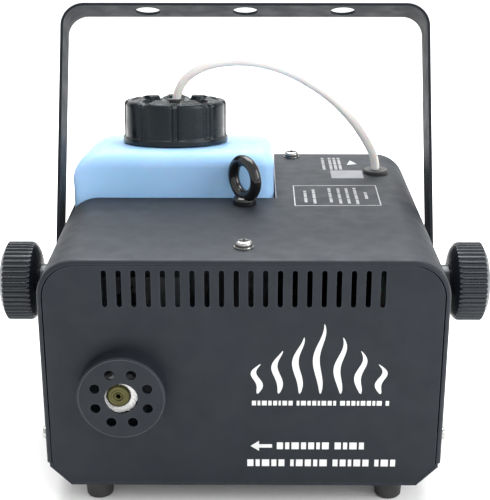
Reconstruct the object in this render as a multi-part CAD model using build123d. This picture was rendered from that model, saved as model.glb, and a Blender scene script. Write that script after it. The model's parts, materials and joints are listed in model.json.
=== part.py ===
from build123d import *
import math
import os

# Compact fog machine. +X is the operator's right when facing the nozzle side, +Y points to the
# rear, +Z is up. The origin is on the ground, under the middle of the machine. Millimetres.

# housing
body_width = 185.6
body_depth = 175.5
body_height = 113.7
foot_height = 12.0
sheet = 1.2
cover_radius = 18.0
front_roll = 2.0
cover_skirt = 11.7
keel_slant = 9.8
fit_gap = 0.2
half_width = body_width / 2
front = -body_depth / 2
rear = body_depth / 2
ground_gap = foot_height
roof = ground_gap + body_height
pan_side = half_width - sheet - fit_gap
panel_side = pan_side - sheet - fit_gap

# front slots
slot_count = 20
slot_pitch = 6.54
slot_width = 2.4
slot_low = 91.4
slot_high = 109.1

# nozzle and its guard
guard_x = -55.3
guard_height = 50.4
guard_radius = 20.3
guard_depth = 9.5
guard_hole_ring = 12.85
nozzle_x = -56.9
nozzle_height = 50.2
nozzle_radius = 5.45

# tilting yoke and its clamp knobs
pivot_back = 84.0
pivot_height = 70.8
yoke_lean = 26.0
yoke_reach = 145.5
yoke_width = 194.0
strip_width = 20.0
strip = 1.5
yoke_bend = 12.0
yoke_hole_radius = 6.7
yoke_hole_pitch = 52.0
stud_radius = 4.0
stud_clearance = 0.06
knob_radius = 20.4
knob_end = 127.0
knob_shoulder = 111.0
knob_ribs = 45
neck_radius = 8.5

# tank, cap and hose
tank_x = (-89.5, 15.3)
tank_back = (92.3, 169.5)
tank_floor = 29.0
tank_top = 133.0
tank_slope = 7.5
tank_wall = 1.8
tray_gap = 0.8
cap_x = -37.5
cap_back = 130.5
cap_radius = 27.5
cap_height = 22.5
cap_lobes = 9
neck_height = 18.0
hose_radius = 2.25
grommet_x = 72.0
grommet_back = 137.5

# pump and heater, inside
heater_x = nozzle_x
block_size = (40.0, 54.0, 36.0)
block_front = 20.0
pump_back = 60.0
pump_height = 38.0


def behind(distance):
    """Y of a point this far behind the front face."""
    return front + distance


def above(height):
    """Z of a point this far above the underside of the chassis."""
    return ground_gap + height


def block(x, y, z):
    """Box between two values on each axis."""
    size = (x[1] - x[0], y[1] - y[0], z[1] - z[0])
    centre = Pos((x[0] + x[1]) / 2, (y[0] + y[1]) / 2, (z[0] + z[1]) / 2)
    return centre * Box(*size)


def rod(radius, start, end):
    """Cylinder between two points."""
    line = Vector(*end) - Vector(*start)
    plane = Plane(origin=start, z_dir=line)
    return extrude(plane * Circle(radius), amount=line.length)


def pipe(outer, inner, start, end):
    return rod(outer, start, end) - rod(inner, start, end)


def slab(sketch, y_low, y_high):
    """Extrude a sketch drawn in X and Z between two values of Y."""
    plane = Plane(origin=(0, y_high, 0), x_dir=(1, 0, 0), z_dir=(0, -1, 0))
    return extrude(plane * sketch, amount=y_high - y_low)


def arch(inset, low):
    """The cover's section, inset from its outside, open or closed below at the height low."""
    side = half_width - inset
    top = roof - inset
    face = make_face(Polyline((-side, low), (-side, top), (side, top), (side, low), close=True))
    return fillet(face.vertices().group_by(Axis.Y)[-1], cover_radius - inset)


def keel(inset, side, top):
    """The lower section with its two slanted bottom corners."""
    low = above(0) + inset
    slant = keel_slant - inset * 0.41
    points = [(-side, top), (-side, low + slant), (-side + slant, low)]
    points += [(side - slant, low), (side, low + slant), (side, top)]
    return make_face(Polyline(*points, close=True))


def slots(count, pitch, centre_x, low, high, width, y_low, y_high):
    middle = (low + high) / 2
    bars = []
    for index in range(count):
        x = centre_x + (index - (count - 1) / 2) * pitch
        bars.append(Pos(x, middle) * SlotOverall(high - low, width, rotation=90))
    return slab(Sketch() + bars, y_low, y_high)


def pan_head(plane, head_radius, head_height, shank_radius, shank_length):
    """Domed screw head with a cross slot; the plane is the seat and its normal points outwards."""
    head = extrude(plane * Circle(head_radius), amount=head_height)
    head = fillet(head.edges().sort_by(Axis(plane.origin, plane.z_dir))[-1], head_height * 0.55)
    slot_size = (head_radius * 1.1, head_radius * 0.26)
    cross = Rectangle(*slot_size) + Rectangle(slot_size[1], slot_size[0])
    head -= extrude(plane.offset(head_height * 0.45) * cross, amount=head_height)
    return head + extrude(plane * Circle(shank_radius), amount=-shank_length)


def hexagon_nut(plane, across_flats, height, bore):
    outline = RegularPolygon(across_flats / 2, 6, major_radius=False) - Circle(bore)
    return extrude(plane * outline, amount=height)


# ---- housing ----

side_screw = (7.5, 24.0)
top_screw_front = (0.0, 17.5)
top_screw_rear = (26.5, 169.0)
eyebolt_back = 81.8
recess_x = (tank_x[0] - 1.0, tank_x[1] + 1.2)
recess_front = tank_back[0] - 1.2
tray_low_wall = 75.0


def screw_hole(x, back, low, high, radius):
    return rod(radius, (x, behind(back), above(low)), (x, behind(back), above(high)))


def side_hole(back, height, radius):
    start = (-half_width - 5, behind(back), above(height))
    end = (half_width + 5, behind(back), above(height))
    return rod(radius, start, end)


def top_cover():
    skirt = above(cover_skirt)
    outer = slab(arch(0, skirt), front, rear)
    nose = outer.faces().sort_by(Axis.Y)[0]
    rim = [edge for edge in nose.edges() if edge.center().Z > skirt + 1]
    outer = fillet(rim, front_roll)
    outer -= slab(arch(sheet, skirt - 5), front + sheet, rear + 1)
    outer -= slab(arch(front_roll + fit_gap, skirt - 5), front - 1, front + 2 * sheet)
    outer -= block(recess_x, (behind(recess_front), rear + 1), (above(60), roof + 1))
    outer -= screw_hole(grommet_x, grommet_back, 100, 120, 5.2)
    outer -= screw_hole(*top_screw_front, 100, 120, 2.2)
    outer -= screw_hole(*top_screw_rear, 100, 120, 2.2)
    outer -= screw_hole(0, eyebolt_back, 100, 120, 3.2)
    outer -= side_hole(*side_screw, 1.7)
    outer -= side_hole(body_depth - side_screw[0], side_screw[1], 1.7)
    outer -= side_hole(pivot_back, pivot_height, stud_radius + 0.5)
    return outer


def base_pan():
    top = above(tank_floor - 1.3)
    outer = slab(keel(0, pan_side, top), front, rear)
    inner = slab(keel(sheet, pan_side - sheet, top + 1), front - 1, rear + 1)
    pan = outer - inner
    lip_room = (front - 1, front + sheet + 0.1)
    pan -= block((-half_width, half_width), lip_room, (above(cover_skirt - 0.1), top + 1))
    for x in (-70, 70):
        for back in (13.0, body_depth - 15):
            pan -= screw_hole(x, back, -1, 3, 2.2)
    pan -= side_hole(*side_screw, 1.7)
    pan -= side_hole(body_depth - side_screw[0], side_screw[1], 1.7)
    for index in range(9):
        x = -20 + index * 9
        pan -= block((x, x + 4), (behind(30), behind(70)), (above(-1), above(2)))
    return pan


def front_panel():
    inset = front_roll + 2 * fit_gap
    side = panel_side
    high = roof - inset
    low = above(sheet + 0.1)
    slant = keel_slant - sheet * 0.41
    points = [(-side, high), (-side, low + slant), (-side + slant, low)]
    points += [(side - slant, low), (side, low + slant), (side, high)]
    face = make_face(Polyline(*points, close=True))
    face = fillet(face.vertices().group_by(Axis.Y)[-1], cover_radius - inset)
    panel = slab(face, front, front + sheet)
    panel += block((-30, 30), (front, behind(28)), (high - sheet, high))
    panel += block((-60, 60), (front, behind(14)), (low, low + sheet))
    for sign in (-1, 1):
        walls = sorted((sign * side, sign * (side - sheet)))
        panel += block(walls, (front, behind(15)), (above(14), above(60)))
    panel -= slots(slot_count, slot_pitch, 0, above(slot_low), above(slot_high), slot_width,
                   front - 1, front + 2)
    z = above(nozzle_height)
    panel -= rod(9.5, (nozzle_x, front - 1, z), (nozzle_x, front + 2, z))
    for angle in (0, 180):
        x = guard_x + 17 * math.cos(math.radians(angle))
        panel -= rod(1.5, (x, front - 1, above(guard_height)), (x, front + 2, above(guard_height)))
    panel -= screw_hole(*top_screw_front, 100, 120, 2.2)
    panel -= side_hole(*side_screw, 1.5)
    return panel


inlet_place = (61.6, 30.0)
fuse_place = (27.5, 30.0)
switch_place = (61.6, 62.0)
socket_place = (31.0, 62.0)
vent_place = (56.0, 84.0, 104.0)


def rear_panel():
    side = pan_side
    low_side = panel_side
    high = roof - sheet - 0.1
    low = above(sheet + 0.1)
    step = above(30.2)
    slant = keel_slant - sheet * 0.41
    points = [(-side, high), (-side, step), (-low_side, step), (-low_side, low + slant)]
    points += [(-low_side + slant, low), (low_side - slant, low), (low_side, low + slant)]
    points += [(low_side, step), (side, step), (side, high)]
    face = make_face(Polyline(*points, close=True))
    face = fillet(face.vertices().group_by(Axis.Y)[-1], cover_radius - sheet - 0.1)
    inner = rear - sheet
    panel = slab(face, inner, rear)
    panel -= block((-half_width, recess_x[1] + 1.3), (inner - 1, rear + 1), (above(tray_low_wall), roof))
    panel += block((20, 45), (behind(body_depth - 14), rear), (high - sheet, high))
    panel += block((-60, 60), (behind(body_depth - 10), rear), (low, low + sheet))
    for sign in (-1, 1):
        walls = sorted((sign * low_side, sign * (low_side - sheet)))
        panel += block(walls, (behind(body_depth - 15), rear), (above(14), above(27.5)))
    x, z = inlet_place
    panel -= block((x - 13.7, x + 13.7), (inner - 1, rear + 1), (above(z - 10), above(z + 10)))
    for offset in (-20, 20):
        panel -= rod(1.7, (x + offset, inner - 1, above(z)), (x + offset, rear + 1, above(z)))
    x, z = fuse_place
    panel -= rod(6.2, (x, inner - 1, above(z)), (x, rear + 1, above(z)))
    x, z = switch_place
    panel -= block((x - 9.6, x + 9.6), (inner - 1, rear + 1), (above(z - 6.5), above(z + 6.5)))
    x, z = socket_place
    panel -= rod(8.0, (x, inner - 1, above(z)), (x, rear + 1, above(z)))
    x, low, high = vent_place
    panel -= slots(8, slot_pitch, x, above(low), above(high), slot_width, inner - 1, rear + 1)
    panel -= slots(9, slot_pitch, -36, above(8), above(24), slot_width, inner - 1, rear + 1)
    panel -= screw_hole(*top_screw_rear, 100, 120, 2.2)
    panel -= side_hole(body_depth - side_screw[0], side_screw[1], 1.5)
    return panel


def tank_tray():
    x = (tank_x[0] - tray_gap, tank_x[1] + tray_gap)
    y = (behind(tank_back[0] - tray_gap), behind(tank_back[1] + tray_gap))
    wall = 1.0
    high = roof - sheet - 0.1
    floor = above(tank_floor)
    tray = block((x[0] - wall, x[1] + wall), (y[0] - wall, y[1] + wall), (floor - wall, high))
    tray -= block(x, y, (floor, high + 1))
    tray -= block((x[0] - 2, x[1] + 2), (y[1] - 0.01, y[1] + 2), (above(tray_low_wall), high + 1))
    tray -= block((x[0] - 2, x[0] + 0.01), (y[0] - 2, y[1] + 2), (above(99), high + 1))
    tray += block((x[1] + wall, x[1] + 9), (y[0], y[1] - 20), (high - wall, high))
    tray += block((x[0] + 12, -9), (y[0] - 9, y[0] - wall), (high - wall, high))
    return tray & slab(arch(sheet + 0.1, 0), front, rear)


def feet():
    group = []
    for x in (-70, 70):
        for back in (13.0, body_depth - 15):
            plane = Plane(origin=(x, behind(back), 0))
            foot = extrude(plane * Circle(6.3), amount=foot_height, taper=-3.5)
            foot = fillet(foot.edges().sort_by(Axis.Z)[0], 1.2)
            foot -= extrude(plane * Circle(3.6), amount=7)
            foot -= extrude(plane * Circle(2.1), amount=foot_height + 1)
            group.append(foot)
    return Compound(group)


def foot_screws():
    group = []
    for x in (-70, 70):
        for back in (13.0, body_depth - 15):
            plane = Plane(origin=(x, behind(back), 7.0), z_dir=(0, 0, -1))
            group.append(pan_head(plane, 3.4, 2.2, 1.95, foot_height - 7 + 6))
    return Compound(group)


def foot_nuts():
    group = []
    for x in (-70, 70):
        for back in (13.0, body_depth - 15):
            plane = Plane(origin=(x, behind(back), above(sheet)))
            group.append(hexagon_nut(plane, 7.0, 2.6, 1.98))
    return Compound(group)


def top_screws():
    group = []
    for x, back in (top_screw_front, top_screw_rear):
        plane = Plane(origin=(x, behind(back), roof + 0.6))
        group.append(pan_head(plane, 4.0, 2.7, 1.95, 8.6))
    return Compound(group)


def top_washers():
    group = []
    for x, back in (top_screw_front, top_screw_rear):
        group.append(pipe(4.6, 2.05, (x, behind(back), roof), (x, behind(back), roof + 0.6)))
    return Compound(group)


def top_nuts():
    group = []
    x, back = top_screw_front
    low = roof - front_roll - 2 * fit_gap - sheet
    group.append(hexagon_nut(Plane(origin=(x, behind(back), low - 3)), 7.0, 3.0, 1.98))
    x, back = top_screw_rear
    low = roof - 2 * sheet - 0.1
    group.append(hexagon_nut(Plane(origin=(x, behind(back), low - 3)), 7.0, 3.0, 1.98))
    return Compound(group)


def side_screws():
    group = []
    for sign in (-1, 1):
        for back in (side_screw[0], body_depth - side_screw[0]):
            origin = (sign * half_width, behind(back), above(side_screw[1]))
            plane = Plane(origin=origin, x_dir=(0, 1, 0), z_dir=(sign, 0, 0))
            group.append(pan_head(plane, 3.0, 2.2, 1.45, 7.0))
    return Compound(group)


def eyebolt():
    """Cast eye for the safety cable, turned so that its ring stands at an angle."""
    y = behind(eyebolt_back)
    ring_radius = 9.1
    thickness = 2.8
    ring_height = 13.3
    turn = Rot(0, 0, -52) * Rot(90, 0, 0)
    ring = Pos(0, y, roof + ring_height) * turn * Torus(ring_radius, thickness)
    collar = extrude(Plane(origin=(0, y, roof)) * Circle(6.1), amount=3.6, taper=12)
    shank = rod(2.95, (0, y, roof - 12), (0, y, roof))
    return ring + collar + shank


def eyebolt_nut():
    low = roof - sheet - 5.2
    y = behind(eyebolt_back)
    nut = hexagon_nut(Plane(origin=(0, y, low)), 10.0, 4.2, 3.0)
    washer = pipe(7.0, 3.2, (0, y, low + 4.2), (0, y, low + 5.2))
    return nut, washer


# ---- nozzle side ----

def nozzle_guard():
    x = guard_x
    z = above(guard_height)
    y_tip = front - guard_depth
    plane = Plane(origin=(x, front, z), x_dir=(1, 0, 0), z_dir=(0, -1, 0))
    cup = extrude(plane * Circle(guard_radius), amount=guard_depth)
    cup = fillet(cup.edges().sort_by(Axis.Y)[0], 0.9)
    cup -= rod(guard_radius - sheet, (x, y_tip + sheet, z), (x, front - sheet, z))
    cup -= rod(14.0, (x, front - sheet - 1, z), (x, front + 1, z))
    cup -= rod(7.6, (x, y_tip - 1, z), (x, y_tip + 3, z))
    for index in range(8):
        angle = math.radians(22.5 + 45 * index)
        hx = x + guard_hole_ring * math.cos(angle)
        hz = z + guard_hole_ring * math.sin(angle)
        cup -= rod(2.37, (hx, y_tip - 1, hz), (hx, y_tip + 3, hz))
    for angle in (0, 180):
        hx = x + 17 * math.cos(math.radians(angle))
        cup -= rod(1.5, (hx, front - 3, z), (hx, front + 1, z))
    return cup


def guard_rivets():
    group = []
    for angle in (0, 180):
        x = guard_x + 17 * math.cos(math.radians(angle))
        z = above(guard_height)
        pin = rod(1.4, (x, front - sheet, z), (x, front + sheet + 1.2, z))
        head = rod(2.0, (x, front - sheet - 0.9, z), (x, front - sheet, z))
        tail = rod(2.0, (x, front + sheet, z), (x, front + sheet + 1.2, z))
        group.append(pin + head + tail)
    return Compound(group)


def nozzle():
    x = nozzle_x
    z = above(nozzle_height)
    tip = front - 7.0
    body = rod(nozzle_radius, (x, tip, z), (x, behind(8), z))
    body = fillet(body.edges().sort_by(Axis.Y)[0], 1.2)
    hexagon = RegularPolygon(7.5, 6, major_radius=False)
    hex_plane = Plane(origin=(x, behind(12), z), x_dir=(1, 0, 0), z_dir=(0, -1, 0))
    body += extrude(hex_plane * hexagon, amount=4)
    body += rod(5.0, (x, behind(12), z), (x, behind(block_front + 8), z))
    body -= rod(3.4, (x, tip - 1, z), (x, tip + 1.0, z))
    body -= rod(2.0, (x, tip - 1, z), (x, tip + 2.2, z))
    body -= rod(0.8, (x, tip - 1, z), (x, behind(block_front + 9), z))
    return body


def nozzle_collar():
    """White ceramic ring between the hot nozzle and the sheet metal."""
    x = nozzle_x
    z = above(nozzle_height)
    sleeve = pipe(8.6, nozzle_radius + 0.1, (x, front - 4.2, z), (x, behind(7.8), z))
    return sleeve + pipe(9.3, nozzle_radius + 0.1, (x, front - 5.7, z), (x, front - 1.5, z))


def heater_block():
    x = heater_x
    z = above(nozzle_height)
    y = (behind(block_front), behind(block_front + block_size[1]))
    body = block((x - block_size[0] / 2, x + block_size[0] / 2), y,
                 (z - block_size[2] / 2, z + block_size[2] / 2))
    body = fillet(body.edges().filter_by(Axis.Y), 3)
    body -= rod(5.0, (x, y[0] - 1, z), (x, y[0] + 8, z))
    body -= rod(2.0, (x, y[0] - 1, z), (x, y[0] + 40, z))
    side = x + block_size[0] / 2
    body -= rod(4.0, (side - 10, behind(pump_back), z), (side + 1, behind(pump_back), z))
    body -= rod(2.0, (x, behind(pump_back), z), (side + 1, behind(pump_back), z))
    for height in (-11, 11):
        body -= rod(4.3, (x, y[0] + 6, z + height), (x, y[1] + 1, z + height))
    return body


def heater_elements():
    x = heater_x
    z = above(nozzle_height)
    end = behind(block_front + block_size[1])
    group = []
    for height in (-11, 11):
        element = rod(4.2, (x, behind(block_front + 6.5), z + height), (x, end + 1.5, z + height))
        element += rod(1.2, (x, end + 1.5, z + height), (x, end + 6, z + height))
        group.append(element)
    return Compound(group)


case_gap = 6.0
case_wall = 0.8


def heater_case():
    x = heater_x
    z = above(nozzle_height)
    half_x = block_size[0] / 2 + case_gap
    half_z = block_size[2] / 2 + case_gap
    y = (behind(block_front - 6.5), behind(block_front + block_size[1] + case_gap))
    shell = block((x - half_x, x + half_x), y, (z - half_z, z + half_z))
    shell -= block((x - half_x + case_wall, x + half_x - case_wall), (y[0] + case_wall, y[1] - case_wall),
                   (z - half_z + case_wall, z + half_z - case_wall))
    shell -= rod(8.8, (x, y[0] - 1, z), (x, y[0] + 2, z))
    shell -= rod(6.0, (x + half_x - 2, behind(pump_back), z), (x + half_x + 1, behind(pump_back), z))
    back = behind(block_front + 22)
    shell -= rod(9.0, (x, back, z + half_z - 2), (x, back, z + half_z + 1))
    for height in (-11, 11):
        shell -= rod(3.0, (x, y[1] - 2, z + height), (x, y[1] + 1, z + height))
    return shell


def heater_insulation():
    x = heater_x
    z = above(nozzle_height)
    half_x = block_size[0] / 2 + case_gap - case_wall - 0.1
    half_z = block_size[2] / 2 + case_gap - case_wall - 0.1
    y = (behind(block_front - 6.5) + case_wall + 0.1,
         behind(block_front + block_size[1] + case_gap) - case_wall - 0.1)
    wrap = block((x - half_x, x + half_x), y, (z - half_z, z + half_z))
    wrap -= block((x - block_size[0] / 2 - 0.1, x + block_size[0] / 2 + 0.1),
                  (behind(block_front) - 0.1, behind(block_front + block_size[1]) + 0.1),
                  (z - block_size[2] / 2 - 0.1, z + block_size[2] / 2 + 0.1))
    wrap -= rod(8.8, (x, y[0] - 1, z), (x, behind(block_front + 1), z))
    side = x + block_size[0] / 2
    wrap -= rod(6.0, (side - 1, behind(pump_back), z), (x + half_x + 1, behind(pump_back), z))
    wrap -= rod(9.0, (x, behind(block_front + 22), z), (x, behind(block_front + 22), z + half_z + 1))
    for height in (-11, 11):
        end = behind(block_front + block_size[1])
        wrap -= rod(5.0, (x, end - 1, z + height), (x, y[1] + 1, z + height))
    return wrap


def heater_stands():
    x = heater_x
    half_x = block_size[0] / 2 + case_gap
    low = above(sheet)
    high = above(nozzle_height) - block_size[2] / 2 - case_gap
    group = []
    for side in (-half_x + 8, half_x - 8):
        for back in (26.0, 68.0):
            group.append(rod(4.0, (x + side, behind(back), low), (x + side, behind(back), high)))
    return Compound(group)


def thermostat():
    x = heater_x
    back = behind(block_front + 22)
    low = above(nozzle_height) + block_size[2] / 2
    disc = rod(8.4, (x, back, low), (x, back, low + 9.5))
    neck = block((x - 2.5, x + 2.5), (back - 6, back + 6), (low + 9.5, low + 14))
    blades = block((x - 0.4, x + 0.4), (back - 11, back - 6), (low + 11, low + 13.5))
    blades += block((x - 0.4, x + 0.4), (back + 6, back + 11), (low + 11, low + 13.5))
    return disc + neck + blades


def heater_inlet():
    z = above(nozzle_height)
    side = heater_x + block_size[0] / 2
    start = side - 9.5
    end = side + 11
    body = rod(3.95, (start, behind(pump_back), z), (side + 2, behind(pump_back), z))
    plane = Plane(origin=(side + 2, behind(pump_back), z), x_dir=(0, 1, 0), z_dir=(1, 0, 0))
    body += extrude(plane * RegularPolygon(5.0, 6, major_radius=False), amount=4)
    body += rod(2.4, (side + 6, behind(pump_back), z), (end, behind(pump_back), z))
    body -= rod(1.0, (start - 1, behind(pump_back), z), (end + 1, behind(pump_back), z))
    return body


# ---- pump ----

pump_x = (10.0, 56.0)
plunger_start = pump_x[0] + 20


def pump_point(x, offset=0.0, height=0.0):
    return (x, behind(pump_back + offset), above(pump_height + height))


def pump_body():
    body = rod(15.0, pump_point(pump_x[0] + 8), pump_point(pump_x[1] - 6))
    body += rod(9.0, pump_point(pump_x[0]), pump_point(pump_x[1]))
    body += rod(2.4, pump_point(pump_x[0] - 8), pump_point(pump_x[0]))
    body += rod(2.4, pump_point(pump_x[1]), pump_point(pump_x[1] + 8))
    body -= rod(5.3, pump_point(pump_x[0] + 4), pump_point(pump_x[1] - 4))
    body -= rod(1.0, pump_point(pump_x[0] - 9), pump_point(pump_x[1] + 9))
    return body


def pump_plunger():
    plunger = rod(5.0, pump_point(plunger_start), pump_point(plunger_start + 18))
    return plunger - rod(1.0, pump_point(plunger_start - 1), pump_point(plunger_start + 19))


def pump_spring():
    """Open coil from the end of the pump's bore to the plunger."""
    wire_radius = 0.45
    seat_gap = 0.05
    low = pump_x[0] + 4 + wire_radius + seat_gap
    high = plunger_start - wire_radius - seat_gap
    helix = Helix(pitch=2.4, height=high - low, radius=3.8)
    start = Plane(origin=helix @ 0, z_dir=helix % 0)
    wire = sweep(start * Circle(wire_radius), path=helix)
    return Pos(*pump_point(low)) * Rot(0, 90, 0) * wire


def pump_bracket():
    """Folded steel cradle under the pump, with two ears up to the flats of its end bosses."""
    low = above(sheet)
    deep = (behind(pump_back - 17), behind(pump_back + 17))
    x = (pump_x[0] + 3, pump_x[1] - 3)
    bracket = block(x, deep, (low, low + 1.5))
    for wall in ((x[0], x[0] + 1.5), (x[1] - 1.5, x[1])):
        ear = block(wall, (behind(pump_back - 12), behind(pump_back + 12)), (low, above(pump_height + 12)))
        bracket += ear
    return bracket - rod(9.1, pump_point(pump_x[0] - 1), pump_point(pump_x[1] + 1))


def route_tube(points, outer, inner, label):
    """Tube along straight runs joined by tangent arcs, as large as the runs allow."""
    vectors = [Vector(*point) for point in points]
    radii = []
    for before, corner, after in zip(vectors, vectors[1:], vectors[2:]):
        first = corner - before
        second = after - corner
        turn = math.radians(first.get_angle(second))
        radii.append(0.45 * min(first.length, second.length) / math.tan(turn / 2))
    path = FilletPolyline(*points, radius=radii)
    start = Plane(origin=path @ 0, z_dir=path % 0)
    tube = sweep(start * Circle(outer), path=path)
    if inner > 0:
        tube -= sweep(start * Circle(inner), path=path)
    section = math.pi * (outer ** 2 - inner ** 2)
    print(label, "radii", [round(radius, 1) for radius in radii], "length", round(path.length, 1),
          "volume ratio", round(tube.volume / (section * path.length), 4))
    return tube


def pump_outlet_tube():
    z = above(nozzle_height)
    start = pump_point(pump_x[0] - 1)
    side = heater_x + block_size[0] / 2 + 7
    y = behind(pump_back)
    points = [start, pump_point(pump_x[0] - 12), (side + 10, y, z), (side, y, z)]
    return route_tube(points, 4.0, 2.5, "pump_outlet_tube")


def pump_inlet_tube():
    x = grommet_x
    y = behind(grommet_back)
    points = [(x, y, above(109)), (x, y, above(78)), (x + 6, behind(112), above(50)),
              (x + 8, behind(84), above(pump_height + 2)), pump_point(x + 4), pump_point(pump_x[1] + 1)]
    return route_tube(points, 4.0, 2.5, "pump_inlet_tube")


# ---- electrics ----

board_x = (18.5, 78.5)
board_back = (88.0, 146.0)
board_height = 12.0


def control_board():
    z = (above(board_height), above(board_height + 1.6))
    board = block(board_x, (behind(board_back[0]), behind(board_back[1])), z)
    for x in (board_x[0] + 4, board_x[1] - 4):
        for back in (board_back[0] + 4, board_back[1] - 4):
            board -= screw_hole(x, back, 0, 20, 1.6)
    return board


def board_parts():
    z = above(board_height + 1.6)
    items = [((23, 51), (93, 115), 20), ((54, 71), (94, 110), 15), ((24, 44), (120, 130), 12),
             ((49, 66), (121, 137), 14)]
    group = []
    for x, back, height in items:
        item = block(x, (behind(back[0]), behind(back[1])), (z, z + height))
        group.append(fillet(item.edges().filter_by(Axis.Z), 1.0))
    for x in (28.0, 39.0):
        group.append(rod(4.0, (x, behind(137), z), (x, behind(137), z + 13)))
    return Compound(group)


def board_posts():
    group = []
    for x in (board_x[0] + 4, board_x[1] - 4):
        for back in (board_back[0] + 4, board_back[1] - 4):
            group.append(screw_hole(x, back, sheet, board_height, 2.6))
    return Compound(group)


def terminal_strip():
    low = above(sheet)
    strip_block = block((-14, 20), (behind(24), behind(38)), (low, low + 12))
    for index in range(4):
        x = -9.5 + index * 8.5
        strip_block -= rod(2.2, (x, behind(31), low + 5), (x, behind(31), low + 13))
    return strip_block


def mains_inlet():
    x, height = inlet_place
    z = above(height)
    flange = block((x - 25, x + 25), (rear, rear + 2.5), (z - 11.5, z + 11.5))
    flange = fillet(flange.edges().filter_by(Axis.Y), 4)
    shell = block((x - 13.5, x + 13.5), (rear - 22, rear), (z - 9.8, z + 9.8))
    shell += block((x - 10, x + 10), (rear - 30, rear - 22), (z - 6, z + 6))
    recess = block((x - 12, x + 12), (rear - 15, rear + 3), (z - 8.2, z + 8.2))
    recess = slanted_top(recess, 5.0)
    inlet = flange + shell - recess
    for offset, height_offset in ((-7, -2), (7, -2), (0, 2)):
        pin = block((x + offset - 1, x + offset + 1), (rear - 16, rear - 1.5),
                    (z + height_offset - 2, z + height_offset + 2))
        inlet += pin
    for offset in (-20, 20):
        inlet -= rod(1.7, (x + offset, rear - 1, z), (x + offset, rear + 4, z))
    return inlet


def slanted_top(solid, size):
    """Slant the two upper edges that run along Y."""
    edges = solid.edges().filter_by(Axis.Y).group_by(Axis.Z)[-1]
    return chamfer(edges, size)


def inlet_screws():
    x, height = inlet_place
    group = []
    for offset in (-20, 20):
        plane = Plane(origin=(x + offset, rear + 2.5, above(height)), x_dir=(1, 0, 0), z_dir=(0, 1, 0))
        group.append(pan_head(plane, 2.8, 1.9, 1.45, 7))
    return Compound(group)


def fuse_holder():
    x, height = fuse_place
    z = above(height)
    body = rod(8.0, (x, rear, z), (x, rear + 2.5, z))
    body += rod(6.0, (x, rear - 26, z), (x, rear, z))
    body += rod(8.0, (x, rear - sheet - 4, z), (x, rear - sheet, z))
    body -= rod(4.3, (x, rear - 24, z), (x, rear + 3, z))
    return body


def fuse_cap():
    x, height = fuse_place
    z = above(height)
    cap = rod(6.6, (x, rear + 2.6, z), (x, rear + guard_depth, z))
    cap = fillet(cap.edges().sort_by(Axis.Y)[-1], 0.8)
    cap += rod(4.2, (x, rear - 3, z), (x, rear + 2.7, z))
    cap -= block((x - 4.5, x + 4.5), (rear + guard_depth - 1.6, rear + guard_depth + 1), (z - 0.8, z + 0.8))
    return cap


def fuse():
    x, height = fuse_place
    z = above(height)
    return rod(2.6, (x, rear - 23.5, z), (x, rear - 3.2, z))


def switch_frame():
    x, height = switch_place
    z = above(height)
    frame = block((x - 10.5, x + 10.5), (rear, rear + 1.8), (z - 7.5, z + 7.5))
    frame = fillet(frame.edges().filter_by(Axis.Y), 1.5)
    frame += block((x - 9.4, x + 9.4), (rear - 14, rear), (z - 6.3, z + 6.3))
    frame -= block((x - 8.2, x + 8.2), (rear - 10, rear + 3), (z - 5.2, z + 5.2))
    for offset in (-6, 0, 6):
        frame += block((x + offset - 2.4, x + offset + 2.4), (rear - 21, rear - 14), (z - 0.4, z + 0.4))
    return frame


rocker_tilt = 9.0
rocker_axis = rear - 3.0


def power_rocker():
    """Rocker key, pressed at its left side while off; it turns about a vertical axis."""
    x, height = switch_place
    z = above(height)
    points = [(-7.6, 4.2), (0, 3.0), (7.6, 4.2), (6.4, -1.2), (2, -4.2), (-2, -4.2), (-6.4, -1.2)]
    face = make_face(Polyline(*points, close=True))
    key = extrude(Plane(origin=(0, 0, -4.6)) * face, amount=9.2)
    return Pos(x, rocker_axis, z) * Rot(0, 0, rocker_tilt) * key


def remote_socket():
    x, height = socket_place
    z = above(height)
    body = rod(10.0, (x, rear, z), (x, rear + 2.0, z))
    body += rod(7.8, (x, rear - 14, z), (x, rear + 3.5, z))
    body -= rod(6.2, (x, rear - 9, z), (x, rear + 5, z))
    for angle in (90, 210, 330):
        px = x + 3.2 * math.cos(math.radians(angle))
        pz = z + 3.2 * math.sin(math.radians(angle))
        body += rod(0.9, (px, rear - 10, pz), (px, rear - 1, pz))
    return body


# ---- yoke and knobs ----

def lean_back(solid):
    """Turn a piece drawn upright about the pivot axis, to the yoke's resting lean."""
    pivot = Pos(0, behind(pivot_back), above(pivot_height))
    return pivot * Rot(-yoke_lean, 0, 0) * solid


def yoke():
    half = yoke_width / 2
    tail = strip_width / 2
    outer = make_face(Polyline((-half, -tail), (-half, yoke_reach), (half, yoke_reach), (half, -tail),
                               close=True))
    outer = fillet(outer.vertices().group_by(Axis.Y)[-1], yoke_bend)
    inner_top = yoke_reach - strip
    inner_half = half - strip
    inner = make_face(Polyline((-inner_half, -tail - 1), (-inner_half, inner_top), (inner_half, inner_top),
                               (inner_half, -tail - 1), close=True))
    inner = fillet(inner.vertices().group_by(Axis.Y)[-1], yoke_bend - strip)
    strap = slab(outer, -strip_width / 2, strip_width / 2) - slab(inner, -strip_width, strip_width)
    ends = [edge for edge in strap.edges().filter_by(Axis.X) if edge.center().Z < -tail + 0.1]
    strap = fillet(ends, strip_width / 2 - 0.2)
    strap -= rod(stud_radius + stud_clearance, (-half - 1, 0, 0), (half + 1, 0, 0))
    for index in (-1, 0, 1):
        x = index * yoke_hole_pitch
        strap -= rod(yoke_hole_radius, (x, 0, yoke_reach - 5), (x, 0, yoke_reach + 5))
    return lean_back(strap)


def at_pivot(x):
    return (x, behind(pivot_back), above(pivot_height))


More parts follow.
